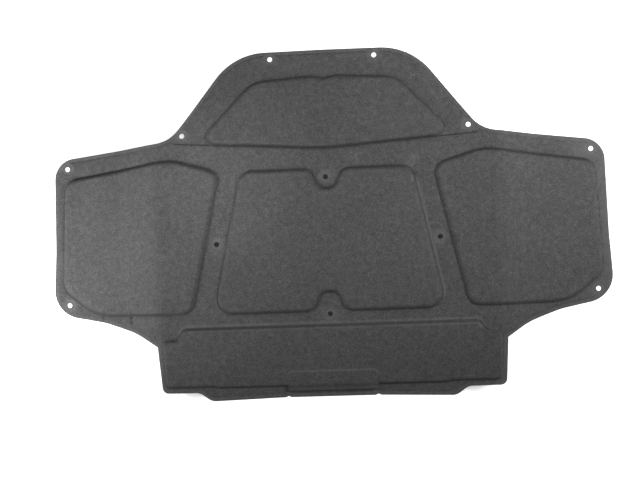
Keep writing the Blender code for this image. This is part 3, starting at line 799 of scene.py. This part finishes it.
# Painted shade: the felt is darkened in the crease round each panel, most where a wall faces the nose or the
# tail, and in the wrinkles and puckers, under the band, along the rim line and across the necks.
painted_crease_shade = np.zeros(face_count)
for name, (up, down, left, right) in FOLD_SHADE.items():
    ahead = wall_facing[name]
    moved = panel_distance[name] + wobble
    fade = BAND_FADE if name == "band" else 0
    level = np.where(ahead[:, 1] > 0, up - fade * x, down) * ahead[:, 1] ** 2
    side = left * np.clip(-ahead[:, 0], 0, 1) + right * np.clip(ahead[:, 0], 0, 1)
    in_fold = np.maximum(ridge(moved - FOLD_PLACE, FOLD_WIDTH), ridge(moved, FOLD_LINE))
    painted_crease_shade = np.maximum(painted_crease_shade, level * in_fold)
    painted_crease_shade = np.maximum(painted_crease_shade, side * ridge(moved, SIDE_FOLD_LINE))
painted_crease_shade = np.maximum(painted_crease_shade, np.clip(0.8 * wrinkled + 0.5 * puckered, 0, 1))
below_band = -0.0005 - panel_distance["band"]
painted_crease_shade += UNDER_BAND * (y < BAND_FOOT_Y) * ridge(below_band, UNDER_BAND_RUN) * (below_band > 0)
rim_line = RIM_LINE_SHADE * above_band * ridge(edge_distance - RIM_LINE_PLACE, RIM_SHADE_WIDTH)
painted_crease_shade = np.maximum(painted_crease_shade, rim_line)
painted_crease_shade = np.maximum(painted_crease_shade, on_neck * ridge(y - crease_height(x), FOLD_LINE))
painted_crease_shade *= 1 - seat
store("painted_crease_shade", painted_crease_shade)

# %% Where loose fibres stand off
FACE_FUZZ, RUBBED_FUZZ, WALL_FUZZ = 0.075, 0.3, 0.5
EDGE_FUZZ_LINES = ((0.08, 0.0, 0.002),)
HOLE_FUZZ_LINES = ((0.25, HOLE_RADIUS, 0.0015),)
fuzz = np.zeros(len(vertices))
fuzz[:face_count] = FACE_FUZZ + RUBBED_FUZZ * wear_and_painted_light * fine_patchy
fuzz[:face_count] += soft_lines(edge_distance, EDGE_FUZZ_LINES) + soft_lines(hole_distance, HOLE_FUZZ_LINES)
fuzz[face_count + back_count:] = WALL_FUZZ
store("fuzz", fuzz)

# %% [markdown]
# ## Charcoal felt
#
# Needled felt is a mat of short fibres of slightly different greys under a thin facing. Seen from two
# metres it is a soft mottled charcoal, and close up single fibres catch the light. The colour starts
# as plain charcoal, and noise in the object's own coordinates varies it, from clouds as wide as a hand
# down to specks. Stretched noise gives the fibres: thin strands where it crosses its middle value, laid
# in four directions, and broader tufts where it peaks, in three. Strands, tufts and grain drive the bump.


# %% Small helpers for building a material
class Bench:
    """Adds nodes to one material and joins them."""

    def __init__(self, name):
        self.material = bpy.data.materials.new(name)
        self.material.use_nodes = True
        self.tree = self.material.node_tree
        self.shader = self.tree.nodes["Principled BSDF"]
        self.place = self.add("ShaderNodeTexCoord").outputs["Object"]

    def add(self, kind, **values):
        """New node of a kind, with its settings."""
        node = self.tree.nodes.new(kind)
        for name, value in values.items():
            setattr(node, name, value)
        return node

    def join(self, value, socket):
        """Link another node's socket, or set a plain value."""
        if isinstance(value, bpy.types.NodeSocket):
            self.tree.links.new(value, socket)
        else:
            socket.default_value = value

    def math(self, operation, first, second=0.0, third=0.0):
        """Result of one sum."""
        node = self.add("ShaderNodeMath", operation=operation)
        for value, socket in zip((first, second, third), node.inputs):
            self.join(value, socket)
        return node.outputs[0]

    def noise(self, scale, detail=2.0, stretch=None, turn=0.0):
        """Noise over the piece, with its spots stretched along a direction if stretch is given."""
        place = self.place
        if stretch:
            mapping = self.add("ShaderNodeMapping", vector_type="TEXTURE")
            mapping.inputs["Rotation"].default_value = (0, 0, turn)
            mapping.inputs["Scale"].default_value = [1 / value for value in stretch]
            self.join(place, mapping.inputs["Vector"])
            place = mapping.outputs["Vector"]
        node = self.add("ShaderNodeTexNoise")
        self.join(place, node.inputs["Vector"])
        node.inputs["Scale"].default_value = scale
        node.inputs["Detail"].default_value = detail
        return node.outputs["Fac"]

    def range(self, value, low, high, to_low, to_high):
        """The value carried from the range low to high over to another range."""
        node = self.add("ShaderNodeMapRange")
        for item, socket in zip((value, low, high, to_low, to_high), node.inputs):
            self.join(item, socket)
        return node.outputs[0]

    def attribute(self, name):
        """The number that the mesh keeps under a name."""
        return self.add("ShaderNodeAttribute", attribute_name=name).outputs["Fac"]

    def mix(self, share, first, second, blend="MIX"):
        """Two colours blended."""
        node = self.add("ShaderNodeMix", data_type="RGBA", blend_type=blend)
        self.join(share, node.inputs["Factor"])
        self.join(first, node.inputs["A"])
        self.join(second, node.inputs["B"])
        return node.outputs["Result"]


# %% Mottle, strands and tufts
MOTTLE = {"cloud": (14, 3), "blotch": (95, 3), "grain": (420, 2), "speck": (760, 1)}
STRAND_TURNS = (0.2, 1.0, 1.8, 2.6)
STRAND_STRETCH = (110, 430, 400)
STRAND_WIDTH = 0.032
TUFT_TURNS = (0.6, 1.6, 2.7)
TUFT_STRETCH = (240, 950, 500)
TUFT_LOW, TUFT_HIGH = 0.42, 0.75
MIDDLE = 0.5
felt = Bench("charcoal_felt")


def strand(turn):
    """Thin lines where noise, stretched along one direction, crosses its middle value."""
    off_middle = felt.math("SUBTRACT", felt.noise(1, 1, STRAND_STRETCH, turn), MIDDLE)
    return felt.range(felt.math("ABSOLUTE", off_middle), 0.0, STRAND_WIDTH, 1.0, 0.0)


def tuft(turn):
    """Broad strokes where noise, stretched along one direction, peaks."""
    return felt.range(felt.noise(1, 1, TUFT_STRETCH, turn), TUFT_LOW, TUFT_HIGH, 0.0, 1.0)


def topmost(layers):
    """The strongest of several layers at each spot."""
    top = layers[0]
    for layer in layers[1:]:
        top = felt.math("MAXIMUM", top, layer)
    return top


mottle = {name: felt.noise(scale, detail) for name, (scale, detail) in MOTTLE.items()}
strands = topmost([strand(turn) for turn in STRAND_TURNS])
tufts = topmost([tuft(turn) for turn in TUFT_TURNS])
print("fibre pattern of", len(felt.tree.nodes), "nodes")

# %% The felt's colour
FELT = (0.083, 0.083, 0.0845, 1)
PALE_FELT_AND_PAINTED_LIGHT = (0.185, 0.185, 0.188, 1)
PAINTED_SHADE_DARK = (0.026, 0.026, 0.027, 1)
MOTTLE_SHADES = (("cloud", 0.94, 1.06), ("blotch", 0.81, 1.17), ("grain", 0.60, 1.24))
TUFT_DIM, TUFT_LIT = 0.74, 1.30
STRAND_LIGHT, SPECK_LIGHT = 0.30, 0.45
# The first layer is painted shade that darkens the felt in its creases. Pressed felt is paler, and the last
# layer makes the felt paler for wear and also as painted light.
LAYERS = (("painted_crease_shade", 0.90, PAINTED_SHADE_DARK), ("pressed", 0.28, PALE_FELT_AND_PAINTED_LIGHT), ("wear_and_painted_light", 0.75, PALE_FELT_AND_PAINTED_LIGHT))

shade = felt.range(tufts, 0.0, 1.0, TUFT_DIM, TUFT_LIT)
for name, dim, lit in MOTTLE_SHADES:
    shade = felt.math("MULTIPLY", shade, felt.range(mottle[name], 0.3, 0.7, dim, lit))
shade = felt.math("MULTIPLY_ADD", strands, STRAND_LIGHT, shade)
shade = felt.math("ADD", shade, felt.range(mottle["speck"], 0.66, 0.76, 0.0, SPECK_LIGHT))
tone = felt.add("ShaderNodeCombineColor")
for socket in tone.inputs[:3]:
    felt.join(shade, socket)
colour = felt.mix(1.0, FELT, tone.outputs[0], "MULTIPLY")
for name, strength, towards in LAYERS:
    colour = felt.mix(felt.math("MULTIPLY", felt.attribute(name), strength), colour, towards)
felt.join(colour, felt.shader.inputs["Base Color"])
print("felt between", PAINTED_SHADE_DARK[:3], "and", PALE_FELT_AND_PAINTED_LIGHT[:3])

# %% The felt's surface
SOFT_ROUGHNESS, PRESSED_ROUGHNESS = 0.95, 0.80
BUMP_SHARE = 0.6
BUMP_STRENGTH, BUMP_HEIGHT = 0.7, 0.0007
roughness = felt.range(felt.attribute("pressed"), 0.0, 1.0, SOFT_ROUGHNESS, PRESSED_ROUGHNESS)
felt.join(roughness, felt.shader.inputs["Roughness"])
felt.shader.inputs["Specular IOR Level"].default_value = 0.10
felt.shader.inputs["Sheen Weight"].default_value = 0.05
felt.shader.inputs["Sheen Roughness"].default_value = 0.55
fibre_relief = felt.math("ADD", felt.math("ADD", strands, mottle["grain"]), tufts)
bump = felt.add("ShaderNodeBump")
bump.inputs["Strength"].default_value = BUMP_STRENGTH
bump.inputs["Distance"].default_value = BUMP_HEIGHT
felt.join(felt.math("MULTIPLY", fibre_relief, BUMP_SHARE), bump.inputs["Height"])
felt.join(bump.outputs["Normal"], felt.shader.inputs["Normal"])
pad_mesh.materials.append(felt.material)
print("felt material of", len(felt.tree.nodes), "nodes")

# %% [markdown]
# ## Stray fibres
#
# Felt sheds fibres. They stand out along the cut edge and round the holes, lie loose where the face was
# rubbed, and are thin on the rest of it. Each is a short bent hair a tenth of a millimetre thick. There
# are thousands, all alike apart from length and direction, so Geometry Nodes scatter one hair over the
# pad: the `fuzz` attribute says how thickly, and the hair keeps a random shade for the material.


# %% A hair and where it grows
def node_of(tree, kind, **values):
    """Node in a tree, with its settings."""
    node = tree.nodes.new(kind)
    for name, value in values.items():
        setattr(node, name, value)
    return node


FIBRE_INPUTS = {
    "Surface": "Geometry", "Fibre length": "Float", "Fibre radius": "Float",
    "Fibres per square metre": "Float", "Seed": "Int", "Material": "Material"}
HAIR_START, HAIR_MIDDLE, HAIR_END = (0.0, 0.0, -0.04), (0.35, 0.18, 0.32), (0.9, -0.25, 0.02)
HAIR_LEAN = 0.4
SHORTEST, LONGEST = 0.45, 1.5


def fibre_tree():
    """Geometry Nodes that grow hairs on a surface and keep only the hairs."""
    tree = bpy.data.node_groups.new("stray_fibres", "GeometryNodeTree")
    for name, kind in FIBRE_INPUTS.items():
        tree.interface.new_socket(name=name, in_out="INPUT", socket_type="NodeSocket" + kind)
    tree.interface.new_socket(name="Fibres", in_out="OUTPUT", socket_type="NodeSocketGeometry")
    inputs = node_of(tree, "NodeGroupInput").outputs
    join = tree.links.new

    def scaled(socket, factor):
        node = node_of(tree, "ShaderNodeMath", operation="MULTIPLY")
        join(socket, node.inputs[0])
        node.inputs[1].default_value = factor
        return node.outputs[0]

    def point(x, y, z):
        node = node_of(tree, "ShaderNodeCombineXYZ")
        for factor, socket in zip((x, y, z), node.inputs):
            join(scaled(inputs["Fibre length"], factor), socket)
        return node.outputs[0]

    hair = node_of(tree, "GeometryNodeCurveQuadraticBezier")
    hair.inputs["Resolution"].default_value = 4
    join(point(*HAIR_START), hair.inputs["Start"])
    join(point(*HAIR_MIDDLE), hair.inputs["Middle"])
    join(point(*HAIR_END), hair.inputs["End"])
    profile = node_of(tree, "GeometryNodeCurvePrimitiveCircle")
    profile.inputs["Resolution"].default_value = 3
    join(inputs["Fibre radius"], profile.inputs["Radius"])
    body = node_of(tree, "GeometryNodeCurveToMesh")
    body.inputs["Fill Caps"].default_value = True
    join(hair.outputs[0], body.inputs["Curve"])
    join(profile.outputs["Curve"], body.inputs["Profile Curve"])

    scatter = node_of(tree, "GeometryNodeDistributePointsOnFaces", distribute_method="RANDOM")
    thickly = node_of(tree, "GeometryNodeInputNamedAttribute", data_type="FLOAT")
    thickly.inputs["Name"].default_value = "fuzz"
    density = node_of(tree, "ShaderNodeMath", operation="MULTIPLY")
    join(inputs["Fibres per square metre"], density.inputs[0])
    join(thickly.outputs["Attribute"], density.inputs[1])
    join(inputs["Surface"], scatter.inputs["Mesh"])
    join(density.outputs[0], scatter.inputs["Density"])
    join(inputs["Seed"], scatter.inputs["Seed"])

    spin = node_of(tree, "FunctionNodeRandomValue", data_type="FLOAT_VECTOR")
    spin.inputs["Min"].default_value = (-HAIR_LEAN, -HAIR_LEAN, 0)
    spin.inputs["Max"].default_value = (HAIR_LEAN, HAIR_LEAN, 2 * math.pi)
    join(inputs["Seed"], spin.inputs["Seed"])
    as_turn = node_of(tree, "FunctionNodeEulerToRotation")
    join(spin.outputs["Value"], as_turn.inputs[0])
    turned = node_of(tree, "FunctionNodeRotateRotation", rotation_space="LOCAL")
    join(scatter.outputs["Rotation"], turned.inputs[0])
    join(as_turn.outputs[0], turned.inputs[1])
    stretch = node_of(tree, "FunctionNodeRandomValue", data_type="FLOAT")
    stretch.inputs[2].default_value = SHORTEST
    stretch.inputs[3].default_value = LONGEST
    grow = node_of(tree, "GeometryNodeInstanceOnPoints")
    join(scatter.outputs["Points"], grow.inputs["Points"])
    join(body.outputs[0], grow.inputs["Instance"])
    join(turned.outputs[0], grow.inputs["Rotation"])
    join(stretch.outputs[1], grow.inputs["Scale"])

    tint = node_of(tree, "GeometryNodeStoreNamedAttribute", data_type="FLOAT", domain="INSTANCE")
    tint.inputs["Name"].default_value = "fibre_shade"
    chance = node_of(tree, "FunctionNodeRandomValue", data_type="FLOAT")
    chance.inputs["Seed"].default_value = 7
    join(grow.outputs[0], tint.inputs["Geometry"])
    join(chance.outputs[1], tint.inputs["Value"])
    real = node_of(tree, "GeometryNodeRealizeInstances")
    paint = node_of(tree, "GeometryNodeSetMaterial")
    join(tint.outputs[0], real.inputs[0])
    join(real.outputs[0], paint.inputs["Geometry"])
    join(inputs["Material"], paint.inputs["Material"])
    join(paint.outputs[0], node_of(tree, "NodeGroupOutput").inputs[0])
    return tree


# %% The fibres' material
FIBRE_DARK, FIBRE_PALE = (0.045, 0.045, 0.047, 1), (0.26, 0.26, 0.265, 1)
fibre = Bench("stray_fibre")
fibre_tone = fibre.mix(fibre.attribute("fibre_shade"), FIBRE_DARK, FIBRE_PALE)
fibre.join(fibre_tone, fibre.shader.inputs["Base Color"])
fibre.shader.inputs["Roughness"].default_value = 0.6
fibre.shader.inputs["Specular IOR Level"].default_value = 0.25

# %% Grow the fibres
ABOVE_FLOOR = 0.0001
FIBRE_VALUES = {
    "Fibre length": 0.0055, "Fibre radius": 0.00005, "Fibres per square metre": 118000.0, "Seed": 11,
    "Material": fibre.material}
grown = fibre_tree()
strays = bpy.data.objects.new("stray_fibres", pad_mesh.copy())
bpy.context.scene.collection.objects.link(strays)
modifier = strays.modifiers.new("fibres", "NODES")
modifier.node_group = grown
for item in grown.interface.items_tree:
    if item.in_out == "INPUT" and item.name in FIBRE_VALUES:
        modifier[item.identifier] = FIBRE_VALUES[item.name]
bpy.context.view_layer.update()
result = strays.evaluated_get(bpy.context.evaluated_depsgraph_get())
fibre_mesh = bpy.data.meshes.new_from_object(result)
strays.modifiers.clear()
strays.data = fibre_mesh
spots = np.empty(len(fibre_mesh.vertices) * 3)
fibre_mesh.vertices.foreach_get("co", spots)
spots[2::3] = np.maximum(spots[2::3], ABOVE_FLOOR)
fibre_mesh.vertices.foreach_set("co", spots)
fibre_mesh.shade_smooth()
print(len(fibre_mesh.polygons), "faces of stray fibres")

# %% [markdown]
# ## Floor and light
#
# The photograph was taken in a white studio. Two soft lamps, one at each side, shine past the pad
# rather than at it. The left one is low and near, so the left wing is brightest, and walls that face
# the nose or the tail are dark, darker still for the shade painted into their creases. A narrow lamp
# from above lightens the felt left of the middle a little.
# The camera doesn't see the lamps.
#
# The floor is a real white surface that takes the pad's shadow. For the camera it also glows outside
# an oval, so it is clean white round the pad and through the outer holes, and dim through the inner
# ones, over the hollow under the pad. In the two recesses beside the lip the glow fades too, in a soft
# spot that paints short soft shadows there over the floor's own shade, because the photograph shows them.


# %% What only the camera sees
def seen_directly(tree):
    """Socket that is 1 for rays from the camera and in mirrors and glass, and 0 for the room's light."""
    ray = tree.nodes.new("ShaderNodeLightPath").outputs
    seen = ray["Is Camera Ray"]
    for kind in ("Is Glossy Ray", "Is Transmission Ray"):
        either = tree.nodes.new("ShaderNodeMath")
        either.operation = "MAXIMUM"
        tree.links.new(seen, either.inputs[0])
        tree.links.new(ray[kind], either.inputs[1])
        seen = either.outputs[0]
    return seen


# %% The floor
FLOOR_HALF = 30.0
FLOOR_Z = -0.0004
FLOOR_CORNERS = [(-1, -1), (1, -1), (1, 1), (-1, 1)]
floor_mesh = bpy.data.meshes.new("studio_floor")
floor_places = [(i * FLOOR_HALF, j * FLOOR_HALF, FLOOR_Z) for i, j in FLOOR_CORNERS]
floor_mesh.from_pydata(floor_places, [], [(0, 1, 2, 3)])
floor = bpy.data.objects.new("studio_floor", floor_mesh)
bpy.context.scene.collection.objects.link(floor)
white = Bench("white_floor")
white.shader.inputs["Base Color"].default_value = (0.96, 0.96, 0.96, 1)
white.shader.inputs["Roughness"].default_value = 0.9
white.shader.inputs["Specular IOR Level"].default_value = 0.0
floor_mesh.materials.append(white.material)
print("floor", 2 * FLOOR_HALF, "m wide")

# %% The floor's glow
GLOW_OVAL = (0.42, 0.34)
OVAL_START, OVAL_END = 0.70, 0.93
GLOW_UNDER, GLOW_ROUND = 0.02, 0.82
FAR_START, FAR_END, FAR_GLOW = 1.2, 2.4, 0.18
RECESS = (0.31, -0.366)
RECESS_SQUEEZE = 0.5
SHADOW_START, SHADOW_END, SHADOW_GLOW = 0.008, 0.026, 0.10


def length_of(x, y):
    """Length of the flat vector (x, y)."""
    vector = white.add("ShaderNodeCombineXYZ")
    white.join(x, vector.inputs["X"])
    white.join(y, vector.inputs["Y"])
    length = white.add("ShaderNodeVectorMath", operation="LENGTH")
    white.join(vector.outputs[0], length.inputs[0])
    return length.outputs["Value"]


floor_spot = white.add("ShaderNodeSeparateXYZ")
white.join(white.place, floor_spot.inputs[0])
floor_x, floor_y = floor_spot.outputs["X"], floor_spot.outputs["Y"]
in_ovals = length_of(white.math("DIVIDE", floor_x, GLOW_OVAL[0]), white.math("DIVIDE", floor_y, GLOW_OVAL[1]))
glow = white.range(in_ovals, OVAL_START, OVAL_END, GLOW_UNDER, GLOW_ROUND)
glow = white.math("ADD", glow, white.range(in_ovals, FAR_START, FAR_END, 0.0, FAR_GLOW))
# Painted shadow: at each recess beside the lip the glow fades in a soft spot, over the floor's own shade.
sideways = white.math("SUBTRACT", white.math("ABSOLUTE", floor_x), RECESS[0])
from_recess = length_of(
    white.math("MULTIPLY", sideways, RECESS_SQUEEZE), white.math("SUBTRACT", floor_y, RECESS[1]))
glow = white.math("MULTIPLY", glow, white.range(from_recess, SHADOW_START, SHADOW_END, SHADOW_GLOW, 1.0))
white.join(white.math("MULTIPLY", glow, seen_directly(white.tree)), white.shader.inputs["Emission Strength"])
white.shader.inputs["Emission Color"].default_value = (1, 1, 1, 1)
print("floor material of", len(white.tree.nodes), "nodes")


# %% The lamps
def soft_lamp(name, place, aim, width, power, spread=180):
    """Square lamp that shines from place towards aim, into a cone of spread degrees."""
    data = bpy.data.lights.new(name, "AREA")
    data.size = width
    data.energy = power
    data.spread = math.radians(spread)
    lamp = bpy.data.objects.new(name, data)
    lamp.location = place
    lamp.rotation_euler = (Vector(aim) - Vector(place)).to_track_quat("-Z", "Y").to_euler()
    lamp.visible_camera = False
    bpy.context.scene.collection.objects.link(lamp)
    print(name, power, "W")


soft_lamp("left_softbox", place=(-0.85, -0.25, 0.45), aim=(0, 1.5, 0.3), width=0.5, power=10.3)
soft_lamp("right_softbox", place=(1.1, 0.3, 1.1), aim=(0, 1.5, 0.2), width=0.8, power=32)
soft_lamp("overhead_glow", place=(-0.5, 0.6, 1.9), aim=(-0.25, 0.11, 0.03), width=0.12, power=0.11, spread=15)

# %% The room's light
AMBIENT = 0.12
world = bpy.data.worlds.new("studio")
bpy.context.scene.world = world
world.use_nodes = True
background = world.node_tree.nodes["Background"]
background.inputs["Color"].default_value = (1, 1, 1, 1)
level = world.node_tree.nodes.new("ShaderNodeMapRange")
level.inputs["To Min"].default_value = AMBIENT
level.inputs["To Max"].default_value = 1.0
world.node_tree.links.new(seen_directly(world.node_tree), level.inputs["Value"])
world.node_tree.links.new(level.outputs["Result"], background.inputs["Strength"])
bpy.context.scene.view_settings.view_transform = "Standard"
print("room light", AMBIENT)

# %% [markdown]
# ## Attach the pad
#
# The fine pad stands for the CAD solid and moves with the one body.

# %% Attach and finish
for piece in (pad, strays):
    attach(piece, "root")
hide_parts("insulation_pad")
